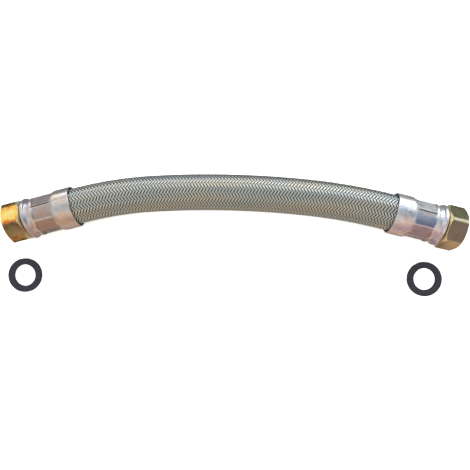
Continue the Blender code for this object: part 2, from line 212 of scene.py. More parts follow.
bpy.ops.object.camera_add()
camera = bpy.context.object
camera.name = "photo_camera"
camera.data.sensor_width = SENSOR_WIDTH
camera.data.lens = SENSOR_WIDTH * FOCAL_PIXELS / PICTURE_WIDTH
camera.data.clip_start = 0.01
forward = CAMERA_LOOK.normalized()
to_the_right = forward.cross(PICTURE_UP).normalized()
upward = to_the_right.cross(forward)
camera_turn = Matrix((to_the_right, upward, -forward)).transposed().to_4x4()
camera.matrix_world = Matrix.Translation(CAMERA_PLACE) @ camera_turn
bpy.context.scene.camera = camera


# The line that the hose lies on. It leaves each ferrule straight, turns through a tighter bend
# there and a gentle one in between, and leans back so that it rests on its two ferrules and on
# the middle of its braid.

HALF_LENGTH = 0.200           # from the middle of the hose to a sealing face
MIDDLE_BEND_HALF = 0.0752     # along the hose, from its middle to the bends beside the ferrules
END_BEND_LENGTH = 0.072
MIDDLE_CURVE = math.radians(5.0) / MIDDLE_BEND_HALF
LEFT_CURVE = math.radians(12.0) / END_BEND_LENGTH
RIGHT_CURVE = math.radians(8.4) / END_BEND_LENGTH

swivels = {joint["name"]: joint for joint in frame["joints"]}
left_face = Vector(swivels["left_nut_swivel"]["pos_m"])
right_face = Vector(swivels["right_nut_swivel"]["pos_m"])
left_out = Vector(swivels["left_nut_swivel"]["axis"]).normalized()
right_out = Vector(swivels["right_nut_swivel"]["axis"]).normalized()


def flat_line(distance):
    """Places and angles of the middle line in its plane, for distances from its middle."""
    distance = np.asarray(distance, dtype=float)
    in_middle = np.clip(distance, -MIDDLE_BEND_HALF, MIDDLE_BEND_HALF)
    in_end = np.clip(distance - in_middle, -END_BEND_LENGTH, END_BEND_LENGTH)
    straight = distance - in_middle - in_end
    end_curve = np.where(distance < 0, LEFT_CURVE, RIGHT_CURVE)
    first = MIDDLE_CURVE * in_middle
    second = first + end_curve * in_end
    x = np.sin(first) / MIDDLE_CURVE + (np.sin(second) - np.sin(first)) / end_curve
    y = (np.cos(first) - 1) / MIDDLE_CURVE + (np.cos(second) - np.cos(first)) / end_curve
    return x + straight * np.cos(second), y - straight * np.sin(second), second


# The plane of the bend is set on the two sealing faces of the frame.
flat_x, flat_y, _ = flat_line([-HALF_LENGTH, HALF_LENGTH])
slant = math.atan2(flat_y[1] - flat_y[0], flat_x[1] - flat_x[0])
hose_up = left_out.cross(right_out).normalized()
along_faces = (right_face - left_face).normalized()
across_faces = hose_up.cross(along_faces)
hose_right = along_faces * math.cos(slant) - across_faces * math.sin(slant)
hose_back = along_faces * math.sin(slant) + across_faces * math.cos(slant)
hose_middle = left_face - hose_right * flat_x[0] - hose_back * flat_y[0]


def lay_on_hose(distance, angle, radius):
    """Points on the bent hose: distance along it, angle from its top to the back, and radius."""
    x, y, turn = flat_line(distance)
    x = x + radius * np.sin(angle) * np.sin(turn)
    y = y + radius * np.sin(angle) * np.cos(turn)
    z = radius * np.cos(angle) + 0 * x
    axes = np.array([hose_right, hose_back, hose_up])
    return np.stack([x, y, z], axis=-1).reshape(-1, 3) @ axes + np.array(hose_middle)


# The rubber liner. A black EPDM tube that carries the water. It is squeezed thin under each
# crimp, and it shows between the wires, inside the bores and as the dark bed of the braid.

LINER_RINGS = 160
LINER_SIDES = 64
LINER_FREE = 0.0157           # outside radius
LINER_SQUEEZED = 0.0145       # and under a crimp
LINER_BORE = 0.01276
LINER_END = 0.1912            # along the hose from its middle, as the next two
BELL_FROM = 0.1620
CRIMP_FROM = 0.1660


def new_piece(name, points, faces):
    """A piece from its corners and faces."""
    mesh = bpy.data.meshes.new(name)
    mesh.from_pydata([tuple(point) for point in points], [], faces)
    mesh.update()
    made = bpy.data.objects.new(name, mesh)
    bpy.context.collection.objects.link(made)
    return made


along = np.linspace(-LINER_END, LINER_END, LINER_RINGS + 1)
around = np.linspace(0, 2 * math.pi, LINER_SIDES, endpoint=False)
outside = np.interp(np.abs(along), (BELL_FROM, CRIMP_FROM), (LINER_FREE, LINER_SQUEEZED))
outer = lay_on_hose(along[:, None], around[None, :], outside[:, None])
inner = lay_on_hose(along[:, None], around[None, :], LINER_BORE + 0 * outside[:, None])
points = np.concatenate([outer, inner])
faces = []
for ring in range(LINER_RINGS):
    for side in range(LINER_SIDES):
        nxt = (side + 1) % LINER_SIDES
        low = ring * LINER_SIDES
        high = low + LINER_SIDES
        faces.append((low + side, high + side, high + nxt, low + nxt))
        low += len(outer)
        high += len(outer)
        faces.append((low + side, low + nxt, high + nxt, high + side))
for side in range(LINER_SIDES):
    nxt = (side + 1) % LINER_SIDES
    last = LINER_RINGS * LINER_SIDES
    faces.append((side, nxt, len(outer) + nxt, len(outer) + side))
    faces.append((last + side, last + len(outer) + side, last + len(outer) + nxt, last + nxt))
liner = new_piece("rubber_liner", points, faces)
liner.data.polygons.foreach_set("use_smooth", [True] * len(liner.data.polygons))


def noise(nodes, links, place, scale, detail=2.0):
    """Soft random blotches that follow a place, scale of them to the metre."""
    made = nodes.new("ShaderNodeTexNoise")
    made.inputs["Scale"].default_value = scale
    made.inputs["Detail"].default_value = detail
    links.new(place, made.inputs["Vector"])
    return made.outputs["Fac"]


def raise_by(nodes, links, shader, height, distance, strength=1.0):
    """Make a surface rough to the touch by a height map."""
    bump = nodes.new("ShaderNodeBump")
    bump.inputs["Distance"].default_value = distance
    bump.inputs["Strength"].default_value = strength
    links.new(height, bump.inputs["Height"])
    links.new(bump.outputs[0], shader.inputs["Normal"])


black_rubber, nodes, links, shader = new_finish("black_liner_rubber")
where = nodes.new("ShaderNodeTexCoord")
grain = noise(nodes, links, where.outputs["Object"], scale=900.0)
dusty = colour_by(nodes, links, grain, [(0.0, (0.010, 0.010, 0.011)), (1.0, (0.030, 0.029, 0.029))])
links.new(dusty, shader.inputs["Base Color"])
raise_by(nodes, links, shader, grain, distance=0.00005)
shader.inputs["Roughness"].default_value = 0.6
liner.data.materials.append(black_rubber)
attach(liner, "hose")
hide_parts("inner_tube")


# The braid. Forty eight flat bundles of stainless wire, half wound each way round, that go over
# two and under two of the others, so that they lie in rows of short slanting strokes along the
# hose. Each bundle is a crowned band of four wires, and dives into the ferrules at its ends.

BUNDLES = 24                  # each way round
BRAID_LEAD = 0.0703           # along the hose for one turn of a bundle
BRAID_END = 0.1555            # from the middle of the hose
BRAID_MIDDLE = 0.01655        # radius of the middle of the weave
WEAVE_LIFT = 0.00021          # how far a bundle rises and dips from it
BUNDLE_WIDTH = 0.00222
WIRES = 4
WIRE_RISE = 0.00005
BUNDLE_CROWN = 0.00034        # the edges of a bundle lie this much lower than its middle
BUNDLE_HALF = 0.00018
ROW_TURN = math.radians(17.8)  # turns the rows of strokes to where the photo has them
STEPS_PER_CROSSING = 1.5
WEAVE_SNAP = 1.8              # how suddenly a bundle changes from over to under
WIRE_TINTS = ((0.30, (0.58, 0.65, 0.64)), (0.50, (0.66, 0.68, 0.64)), (0.72, (0.72, 0.68, 0.56)))
# Painted shade, from the middle of a bundle out to its edges.
EDGE_SHADE = ((0.30, (1, 1, 1)), (0.95, (0.10, 0.10, 0.10)))

axial_pitch = BRAID_LEAD / BUNDLES
slope = math.atan2(2 * math.pi * BRAID_MIDDLE, BRAID_LEAD)
steps = int(2 * BRAID_END / (axial_pitch / 2) * STEPS_PER_CROSSING)
across_top = np.linspace(-1, 1, 2 * WIRES + 1)
ridge = np.where(np.arange(2 * WIRES + 1) % 2 == 1, WIRE_RISE, 0.0)
top_height = BUNDLE_HALF - BUNDLE_CROWN * across_top ** 2 + ridge
across = np.append(across_top, 0.0)
height = np.append(top_height, -BUNDLE_HALF)


def bundle_points(start, winding):
    """The corners of one bundle, a ring of them for each step along it. winding is 1 or -1."""
    along = np.linspace(-BRAID_END, BRAID_END, steps + 1)
    middle = start * 2 * math.pi / BUNDLES + winding * along * 2 * math.pi / BRAID_LEAD
    offset = across * BUNDLE_WIDTH / 2
    distance = along[:, None] - winding * math.sin(slope) * offset[None, :]
    angle = middle[:, None] + math.cos(slope) * offset[None, :] / BRAID_MIDDLE
    # Number of the crossing bundle at each corner, counted in bundles and parts of one.
    crossing = angle * BUNDLES / (2 * math.pi) + winding * distance / axial_pitch
    rank = start + crossing
    wave = np.tanh(WEAVE_SNAP * np.cos(math.pi / 2 * (rank - 0.5))) / math.tanh(WEAVE_SNAP)
    over = wave * winding
    radius = BRAID_MIDDLE + WEAVE_LIFT * over + height[None, :]
    return distance, angle + ROW_TURN, radius, over


def weave(name, winding):
    """All the bundles that wind one way, as one piece of closed bands."""
    round_it = len(across)
    points = []
    faces = []
    marks = []
    for number in range(BUNDLES):
        first = number * (steps + 1) * round_it
        distance, angle, radius, over = bundle_points(number, winding)
        points.append(lay_on_hose(distance, angle, radius))
        sideways = np.repeat(across[None, :], steps + 1, axis=0)
        marks.append(np.stack([over, sideways, np.full_like(over, number)], axis=-1).reshape(-1, 3))
        for step in range(steps):
            low = first + step * round_it
            high = low + round_it
            for corner in range(round_it):
                nxt = (corner + 1) % round_it
                quad = (low + corner, low + nxt, high + nxt, high + corner)
                faces.append(quad if winding == 1 else quad[::-1])
        start_cap = tuple(first + corner for corner in range(round_it))
        end_cap = tuple(first + steps * round_it + corner for corner in range(round_it))
        faces.append(start_cap[::-1] if winding == 1 else start_cap)
        faces.append(end_cap if winding == 1 else end_cap[::-1])
    made = new_piece(name, np.concatenate(points), faces)
    made.data.polygons.foreach_set("use_smooth", [True] * len(made.data.polygons))
    bundle = made.data.attributes.new("bundle", "FLOAT_VECTOR", "POINT")
    bundle.data.foreach_set("vector", np.concatenate(marks).astype(np.float32).ravel())
    return made


braid_wire, nodes, links, shader = new_finish("bright_braid_wire")
where = nodes.new("ShaderNodeTexCoord")
stretch = nodes.new("ShaderNodeMapping")
stretch.inputs["Scale"].default_value = (18.0, 90.0, 90.0)
links.new(where.outputs["Object"], stretch.inputs["Vector"])
tint = noise(nodes, links, stretch.outputs[0], scale=1.0, detail=3.0)
tints = colour_by(nodes, links, tint, WIRE_TINTS)
# Painted shade: each bundle is darker at its edges and wherever it dives under another.
mark = nodes.new("ShaderNodeAttribute")
mark.attribute_name = "bundle"
split = nodes.new("ShaderNodeSeparateXYZ")
links.new(mark.outputs["Vector"], split.inputs[0])
from_middle = nodes.new("ShaderNodeMath")
from_middle.operation = "ABSOLUTE"
links.new(split.outputs["Y"], from_middle.inputs[0])
shade = nodes.new("ShaderNodeVectorMath")
shade.operation = "SCALE"
links.new(colour_by(nodes, links, from_middle.outputs[0], EDGE_SHADE), shade.inputs[0])
dive_shade = spread(nodes, links, split.outputs["X"], low=0.15, from_low=-0.9, from_high=0.7)
links.new(dive_shade, shade.inputs["Scale"])


def multiply(nodes, links, one, other):
    """Dim one colour by another."""
    made = nodes.new("ShaderNodeVectorMath")
    made.operation = "MULTIPLY"
    links.new(one, made.inputs[0])
    links.new(other, made.inputs[1])
    return made.outputs[0]


links.new(multiply(nodes, links, shade.outputs[0], tints), shader.inputs["Base Color"])
smudge = noise(nodes, links, where.outputs["Object"], scale=400.0)
links.new(spread(nodes, links, smudge, low=0.22, high=0.38), shader.inputs["Roughness"])
shader.inputs["Metallic"].default_value = 1.0

for name, winding in (("braid_wires_clockwise", 1), ("braid_wires_counter", -1)):
    wires = weave(name, winding)
    wires.data.materials.append(braid_wire)
    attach(wires, "hose")
    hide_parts("braid_sleeve")


# The ferrules. Each is a stainless cup, pushed over the end of the hose and squeezed by eight
# jaws, which leave flats with a thin ridge between them. Its open end stays wide as a bell, and
# its front end is rolled into a lip behind the nut. The steel has soft blotches, and painted
# reflections, shade and highlights by its turn around the hose.

FERRULE_SIDES = 160           # twenty to each jaw, so that corners fall on the edges of a ridge
JAWS = 8
JAW_FLAT = 0.0167             # from the middle line to a flat
JAW_RIDGE = 0.0181            # and to the thin ridge between two flats
RIDGE_TURN = math.radians(30.0)  # one of the ridges, from the top towards the front
RIDGE_HALF = math.radians(1.0)
JAW_FROM = -0.0168
JAW_TO = -0.0340
FLAT_MARGIN = 0.0002          # a corner this far inside the flats is left where it is
LEAST_PRESS = 0.0001          # every other corner under a jaw goes in by at least this
FERRULE_SHIFT = -0.0007
FERRULE_LENGTH = 0.050
WELD = 1e-6                   # corners closer than this become one
FERRULE_OUTLINE = (           # along the hose from the sealing face, and radius
    (-0.0058, 0.0116), (-0.0058, 0.0178), (-0.0060, 0.0185), (-0.0065, 0.0189), (-0.00735, 0.01905),
    (-0.0082, 0.0189), (-0.0087, 0.0186), (-0.0090, 0.0181), (-0.0094, 0.0175), (-0.0100, 0.01715),
    (-0.0110, 0.01705), (-0.0121, 0.0172), (-0.0131, 0.01745), (-0.0138, 0.0178), (-0.0146, 0.0180),
    (-0.0155, 0.0179), (-0.0161, 0.0178), (-0.0166, 0.0178), (-0.0190, 0.0178), (-0.0220, 0.0178),
    (-0.0250, 0.0178), (-0.0280, 0.0178), (-0.0310, 0.0178), (-0.0328, 0.0178), (-0.0333, 0.01785),
    (-0.0341, 0.0182), (-0.0351, 0.0187), (-0.0361, 0.01905), (-0.0373, 0.01915), (-0.0400, 0.0192),
    (-0.0440, 0.01915), (-0.0480, 0.01915), (-0.0500, 0.01915), (-0.0505, 0.01905),
    (-0.0508, 0.0188), (-0.0508, 0.0183), (-0.0505, 0.0180), (-0.0500, 0.01795),
    (-0.0373, 0.01795), (-0.0333, 0.0156), (-0.0078, 0.0156), (-0.0078, 0.0116),
)


def turned_piece(name, outline, sides, first_angle=0.0):
    """Turn an outline of (along, radius) points about Z, as on a lathe, and close it."""
    bpy.ops.object.select_all(action="DESELECT")
    bpy.ops.mesh.primitive_plane_add(size=0.001, location=(0, 0, 0))
    made = bpy.context.object
    made.name = name
    made.data.name = name
    bpy.ops.object.mode_set(mode="EDIT")
    bpy.ops.mesh.select_all(action="SELECT")
    bpy.ops.mesh.merge(type="CENTER")
    across, down = math.cos(first_angle), math.sin(first_angle)
    reach = [Vector((radius * across, radius * down, along)) for along, radius in outline]
    bpy.ops.transform.translate(value=reach[0])
    for previous, point in zip(reach, reach[1:]):
        bpy.ops.mesh.extrude_region_move(TRANSFORM_OT_translate={"value": point - previous})
    bpy.ops.mesh.extrude_region_move(TRANSFORM_OT_translate={"value": reach[0] - reach[-1]})
    bpy.ops.mesh.select_all(action="SELECT")
    bpy.ops.mesh.remove_doubles(threshold=WELD)
    bpy.ops.mesh.spin(steps=sides, angle=2 * math.pi, center=(0, 0, 0), axis=(0, 0, 1))
    bpy.ops.mesh.select_all(action="SELECT")
    bpy.ops.mesh.remove_doubles(threshold=WELD)
    bpy.ops.mesh.normals_make_consistent(inside=False)
    bpy.ops.object.mode_set(mode="OBJECT")
    return made


def own_place(made):
    """Keep each corner's place before the piece is set on the hose, for the materials to follow."""
    kept = made.data.attributes.new("own_place", "FLOAT_VECTOR", "POINT")
    kept.data.foreach_set("vector", [value for corner in made.data.vertices for value in corner.co])


def end_frame(side):
    """Where one end's pieces go: Z out of the hose from its sealing face, X up."""
    name = "left_nut_swivel" if side < 0 else "right_nut_swivel"
    out = left_out if side < 0 else right_out
    turn = Matrix((hose_up, out.cross(hose_up), out)).transposed().to_4x4()
    return Matrix.Translation(Vector(swivels[name]["pos_m"])) @ turn


def set_in_place(made, place):
    """Set a piece where it goes, and keep that place in its mesh."""
    bpy.ops.object.select_all(action="DESELECT")
    made.select_set(True)
    bpy.context.view_layer.objects.active = made
    made.matrix_world = place
    bpy.ops.object.transform_apply(location=True, rotation=True, scale=True)


def smooth(made, degrees):
    """Shade a piece smooth, all but the edges that turn by more than this."""
    bpy.ops.object.select_all(action="DESELECT")
    made.select_set(True)
    bpy.context.view_layer.objects.active = made
    bpy.ops.object.shade_smooth_by_angle(angle=math.radians(degrees))


def press_flats(made, ridge_angle):
    """Press the flats of the jaws into the turned cup, and leave a ridge wherever two jaws meet."""
    pitch = 2 * math.pi / JAWS
    for corner in made.data.vertices:
        radius = math.hypot(corner.co.x, corner.co.y)
        if not JAW_TO < corner.co.z < JAW_FROM or radius < JAW_FLAT - FLAT_MARGIN:
            continue
        angle = math.atan2(corner.co.y, corner.co.x) - ridge_angle
        from_flat = (angle % pitch) - pitch / 2
        flat = JAW_FLAT / math.cos(from_flat)
        on_ridge = abs(from_flat) > pitch / 2 - RIDGE_HALF
        reach = JAW_RIDGE if on_ridge else min(flat, radius - LEAST_PRESS)
        corner.co.x *= reach / radius
        corner.co.y *= reach / radius


def own_axes(nodes, links):
    """A place on a piece as it was before the piece was set on the hose, whole and split."""
    where = nodes.new("ShaderNodeAttribute")
    where.attribute_name = "own_place"
    split = nodes.new("ShaderNodeSeparateXYZ")
    links.new(where.outputs["Vector"], split.inputs[0])
    return where.outputs["Vector"], split


def own_turn(nodes, links, split, side):
    """The turn from the top towards the front, as 0 to 1 for -180 to 180 degrees."""
    around = nodes.new("ShaderNodeMath")
    around.operation = "ARCTAN2"
    links.new(split.outputs["Y"], around.inputs[0])
    links.new(split.outputs["X"], around.inputs[1])
    half = math.pi * side
    return spread(nodes, links, around.outputs[0], from_low=-half, from_high=half)


def multiply_in_part(nodes, links, one, other):
    """Dim one colour by another, to a factor that is still to be set."""
    made = nodes.new("ShaderNodeMix")
    made.data_type = "RGBA"
    made.blend_type = "MULTIPLY"
    links.new(one, made.inputs["A"])
    links.new(other, made.inputs["B"])
    return made


def stops_by_degrees(painted_light_marks):
    """Marks of painted light given in degrees, as places from 0 to 1."""
    return [((degrees + 180) / 360, colour) for degrees, colour in painted_light_marks]


def pressed_finish(name, side, lip_colour, low_reflection, hue_stops, painted_light_marks):
    """Satin steel with soft blotches, and painted light by its turn from the top to the front."""
    made, nodes, links, shader = new_finish(name)
    place, split = own_axes(nodes, links)
    turn = own_turn(nodes, links, split, side)
    blotch = noise(nodes, links, place, scale=130.0, detail=3.0)
    hues = colour_by(nodes, links, blotch, hue_stops, "EASE")
    painted_light = colour_by(nodes, links, turn, stops_by_degrees(painted_light_marks), "EASE")
    # The painted reflections and shade are strong on the flats of the jaws and faint on the bell
    # and the lip.
    along = spread(nodes, links, split.outputs["Z"], from_low=-FERRULE_LENGTH, from_high=0.0)
    colour = multiply_in_part(nodes, links, hues, painted_light)
    links.new(colour_by(nodes, links, along, PAINTED_LIGHT_STRENGTH), colour.inputs["Factor"])
    # Painted reflection: the steel is tinted slightly rosy towards the low side.
    low_reflection_stops = [(0.0, (1, 1, 1)), (0.50, (1, 1, 1)), (0.64, low_reflection), (0.80, low_reflection)]
    low_side_reflection = colour_by(nodes, links, turn, low_reflection_stops, "EASE")
    lip_stops = [(0.0, (1, 1, 1)), (0.72, (1, 1, 1)), (0.80, lip_colour), (1.0, lip_colour)]
    lip_tint = colour_by(nodes, links, along, lip_stops, "EASE")
    with_low_reflection = multiply(nodes, links, colour.outputs["Result"], low_side_reflection)
    links.new(multiply(nodes, links, with_low_reflection, lip_tint), shader.inputs["Base Color"])
    links.new(spread(nodes, links, blotch, low=0.16, high=0.34), shader.inputs["Roughness"])
    dents = noise(nodes, links, place, scale=240.0, detail=4.0)
    raise_by(nodes, links, shader, dents, distance=0.00022, strength=0.8)
    shader.inputs["Metallic"].default_value = 1.0
    return made


# How strongly the painted reflections, shade and highlights show on the ferrule.
PAINTED_LIGHT_STRENGTH = (            # along the ferrule, from the rim of the bell to the sealing face
    (0.28, (0.22, 0.22, 0.22)), (0.36, (1, 1, 1)), (0.66, (1, 1, 1)), (0.68, (0.12, 0.12, 0.12)),
)
LIP_COLOURS = {"left": (0.88, 0.90, 1.0), "right": (1.0, 0.97, 1.0)}
# Painted reflection colours on the low side of each ferrule.
LOW_SIDE_REFLECTIONS = {"left": (1.0, 0.88, 0.82), "right": (0.86, 0.72, 0.74)}
FERRULE_HUES = {              # the blotches, from one end of their range to the other
    "left": (
        (0.32, (0.60, 0.62, 0.68)), (0.41, (0.70, 0.68, 0.70)), (0.48, (0.72, 0.66, 0.63)),
        (0.56, (0.67, 0.61, 0.57)), (0.63, (0.80, 0.62, 0.53)), (0.70, (0.74, 0.74, 0.64)),
    ),
    "right": (
        (0.34, (0.66, 0.72, 0.82)), (0.45, (0.86, 0.87, 0.90)), (0.55, (0.90, 0.88, 0.88)),
        (0.66, (0.84, 0.74, 0.70)),
    ),
}
# Each mark of painted light is a turn in degrees from the top towards the front, and how it dims
# the steel there.
FERRULE_PAINTED_LIGHT = {
    "left": (
        (-90, (0.80, 0.80, 0.82)), (-18, (0.78, 0.76, 0.76)), (-16, (0.26, 0.22, 0.22)),
        (-14, (0.26, 0.22, 0.22)), (-12, (1.0, 0.95, 0.92)), (-8, (0.80, 0.72, 0.70)),
        (22, (0.66, 0.60, 0.58)), (28, (0.92, 0.86, 0.84)), (31, (0.92, 0.84, 0.80)),
        (34, (0.80, 0.64, 0.58)), (66, (0.72, 0.60, 0.56)), (75, (0.50, 0.46, 0.44)),
        (100, (0.46, 0.44, 0.42)),
    ),
    "right": (
        (-70, (0.86, 0.87, 0.86)), (-19, (0.90, 0.90, 0.90)), (-16.5, (0.16, 0.16, 0.18)),
        (-14, (0.16, 0.16, 0.18)), (-12, (1, 1, 1)), (-5, (1, 1, 1)), (3, (0.62, 0.70, 0.84)),
        (20, (0.40, 0.45, 0.58)), (27, (0.36, 0.40, 0.50)), (29, (1, 0.97, 1)), (32, (1, 0.96, 1)),
        (34, (0.74, 0.62, 0.64)), (68, (0.62, 0.54, 0.56)), (75, (0.74, 0.72, 0.66)),
        (100, (0.48, 0.50, 0.46)),
    ),
}

for side_name, side in (("left", -1), ("right", 1)):
    ridge_angle = side * RIDGE_TURN
    outline = [(along + FERRULE_SHIFT, radius) for along, radius in FERRULE_OUTLINE]
    ferrule = turned_piece(side_name + "_crimped_ferrule", outline, FERRULE_SIDES, ridge_angle)
    press_flats(ferrule, ridge_angle)
    own_place(ferrule)
    set_in_place(ferrule, end_frame(side))
    smooth(ferrule, degrees=16)
    ferrule.data.materials.append(pressed_finish(
        side_name + "_ferrule_finish", side, LIP_COLOURS[side_name], LOW_SIDE_REFLECTIONS[side_name],
        FERRULE_HUES[side_name], FERRULE_PAINTED_LIGHT[side_name],
    ))
    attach(ferrule, "hose")
    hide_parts(side_name + "_ferrule")


# The tails. Turned brass spigots that carry the water out of the hose. Five barbs hold the
# liner, a groove holds the ferrule, and the flange in front is what the sealing ring presses on.

TAIL_OUTLINE = [
    (0.0, 0.0102), (0.0, 0.01445), (-0.0004, 0.01485), (-0.0025, 0.01485), (-0.0025, 0.01235),
    (-0.0062, 0.01235), (-0.0062, 0.0113), (-0.0088, 0.0113), (-0.0088, 0.01235),
    (-0.0128, 0.01235),
]
BARBS = 5
BARBS_FROM = -0.0128
BARB_PITCH = 0.0062
BARB_CREST = 0.01235
BARB_FOOT = 0.0115
for barb in range(BARBS):
    front = BARBS_FROM - barb * BARB_PITCH
    if barb:
        TAIL_OUTLINE.append((front, BARB_CREST))
    TAIL_OUTLINE.append((front - BARB_PITCH, BARB_FOOT))
TAIL_OUTLINE += [(-0.0487, 0.0115), (-0.0487, 0.0102)]
TAIL_SIDES = 96


def radius_of(nodes, links, split):
    """How far a place is from the middle line of its piece."""
    flat_place = nodes.new("ShaderNodeCombineXYZ")
    links.new(split.outputs["X"], flat_place.inputs["X"])
    links.new(split.outputs["Y"], flat_place.inputs["Y"])
    radius = nodes.new("ShaderNodeVectorMath")
    radius.operation = "LENGTH"
    links.new(flat_place.outputs[0], radius.inputs[0])
    return radius.outputs["Value"]


turned_brass, nodes, links, shader = new_finish("turned_tail_brass")
place, split = own_axes(nodes, links)
groove_place = nodes.new("ShaderNodeCombineXYZ")
links.new(radius_of(nodes, links, split), groove_place.inputs["X"])
links.new(split.outputs["Z"], groove_place.inputs["Y"])
tool_marks = noise(nodes, links, groove_place.outputs[0], scale=6000.0)
raise_by(nodes, links, shader, tool_marks, distance=0.00002, strength=0.5)
tarnish = noise(nodes, links, place, scale=180.0, detail=4.0)
hues = colour_by(nodes, links, tarnish, [(0.35, (0.60, 0.40, 0.15)), (0.65, (0.80, 0.60, 0.28))])
links.new(hues, shader.inputs["Base Color"])
shader.inputs["Roughness"].default_value = 0.30
shader.inputs["Metallic"].default_value = 1.0

for side_name, side in (("left", -1), ("right", 1)):
    tail = turned_piece(side_name + "_barbed_tail", TAIL_OUTLINE, TAIL_SIDES)
    own_place(tail)
    set_in_place(tail, end_frame(side))
    smooth(tail, degrees=25)
    tail.data.materials.append(turned_brass)
    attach(tail, "hose")
    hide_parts(side_name + "_tail")


# The union nuts. Forged brass hexagons with a golden finish, chamfered on both faces, with
# painted reflections, shade and highlights that change from flat to flat. Each turns freely on
# its tail: its back lip pulls on the flange, and its one inch thread draws the sealing ring tight.

NUT_CORNER = 0.020785         # from the middle line to a corner
NUT_BACK = -0.0053            # along the hose from the sealing face
NUT_FRONT = 0.0112
NUT_BACK_RADIUS = 0.0174      # where the back chamfer starts
CHAMFER_SLOPE = 0.5774        # a chamfer of 30 degrees
NUT_CORNER_ROUNDING = 0.0004
NUT_BAR_SPARE = 0.002         # the bar is this much longer than the nut that is cut from it
NUT_BLANK_SIDES = 128
NUT_BORE_SIDES = 96
NUT_TURN = {"left": 16.29, "right": -10.22}    # a corner, from the top towards the front
THREAD_PITCH = 0.00231
THREAD_ROOT = 0.01662
THREAD_CREST = 0.01515
THREAD_FROM = 0.0034
THREAD_TURNS = 2.9
THREAD_STEPS = 72             # to a turn
THREAD_FADE = 18              # steps over which it comes up at either end
THREAD_LEAST = 0.03           # of its height, where it starts
THREAD_SINK = 0.0002          # how deep its foot lies in the wall
NUT_BLANK_OUTLINE = (
    (-0.0053, 0.0), (-0.0053, 0.0172), (-0.00522, 0.01738), (-0.00316, 0.0211), (-0.0025, 0.0260),
    (0.0080, 0.0260), (0.00925, 0.0211), (0.0111, 0.0180), (0.0112, 0.0178), (0.0112, 0.0),
)
NUT_BORE_OUTLINE = (
    (-0.0100, 0.0), (-0.0100, 0.01265), (-0.0028, 0.01265), (-0.0028, 0.0168), (0.0029, 0.0168),
    (0.0031, 0.01662), (0.0103, 0.01662), (0.0108, 0.0168), (0.0112, 0.01705), (0.0160, 0.01705),
    (0.0160, 0.0),
)


def combine(target, tool, operation):
    """Cut a piece with another, or keep what the two share, and use the other up."""
    bpy.ops.object.select_all(action="DESELECT")
    target.select_set(True)
    bpy.context.view_layer.objects.active = target
    change = target.modifiers.new(operation.lower(), "BOOLEAN")
    change.operation = operation
    change.solver = "EXACT"
    change.object = tool
    bpy.ops.object.modifier_apply(modifier=change.name)
    bpy.data.objects.remove(tool, do_unlink=True)


def thread_ridge(name):
    """The ridge of the inside thread: a coil with slanting sides that fades in and out."""
    points = []
    faces = []
    count = int(THREAD_STEPS * THREAD_TURNS)
    for step in range(count + 1):
        turn = 2 * math.pi * step / THREAD_STEPS
        along = THREAD_FROM + THREAD_PITCH * step / THREAD_STEPS
        fade = min(1.0, step / THREAD_FADE, (count - step) / THREAD_FADE)
        crest = THREAD_ROOT - (THREAD_ROOT - THREAD_CREST) * max(THREAD_LEAST, fade)
        foot = THREAD_ROOT + THREAD_SINK
        section = (           # across the ridge, in pitches, and radius
            (-0.42, foot), (-0.40, THREAD_ROOT), (-0.07, crest),
            (0.07, crest), (0.40, THREAD_ROOT), (0.42, foot),
        )
        for reach, radius in section:
            z = along + reach * THREAD_PITCH
            points.append((radius * math.cos(turn), radius * math.sin(turn), z))
    corners = len(section)
    for step in range(count):
        low = step * corners
        high = low + corners
        for corner in range(corners):
            nxt = (corner + 1) % corners
            faces.append((low + corner, low + nxt, high + nxt, high + corner))
    faces.append(tuple(reversed(range(corners))))
    faces.append(tuple(count * corners + corner for corner in range(corners)))
    made = new_piece(name, points, faces)
    bpy.ops.object.select_all(action="DESELECT")
    made.select_set(True)
    bpy.context.view_layer.objects.active = made
    bpy.ops.object.mode_set(mode="EDIT")
    bpy.ops.mesh.select_all(action="SELECT")
    bpy.ops.mesh.normals_make_consistent(inside=False)
    bpy.ops.object.mode_set(mode="OBJECT")
    return made


def hexagon_bar(name, corner_angle):
    """A length of hexagonal bar with rounded corners, one of them at the given angle."""
    bpy.ops.object.select_all(action="DESELECT")
    bpy.ops.mesh.primitive_cylinder_add(
        vertices=6, radius=NUT_CORNER, depth=NUT_FRONT - NUT_BACK + NUT_BAR_SPARE,
        location=(0, 0, (NUT_FRONT + NUT_BACK) / 2),
    )
    made = bpy.context.object
    made.name = name
    made.data.name = name
    first = math.atan2(made.data.vertices[0].co.y, made.data.vertices[0].co.x)
    made.rotation_euler.z = corner_angle - first
    bpy.ops.object.transform_apply(location=True, rotation=True, scale=True)
    bpy.ops.object.mode_set(mode="EDIT")
    bpy.ops.mesh.select_all(action="DESELECT")
    bpy.ops.object.mode_set(mode="OBJECT")
    # The upright edges are the corners of the hexagon.
    for edge in made.data.edges:
        a, b = (made.data.vertices[i].co for i in edge.vertices)
        edge.select = abs(a.z - b.z) > NUT_CORNER_ROUNDING
    bpy.ops.object.mode_set(mode="EDIT")
    bpy.ops.mesh.select_mode(type="EDGE")
    bpy.ops.mesh.bevel(offset=NUT_CORNER_ROUNDING, offset_type="OFFSET", segments=3)
    bpy.ops.mesh.select_mode(type="VERT")
    bpy.ops.object.mode_set(mode="OBJECT")
    return made


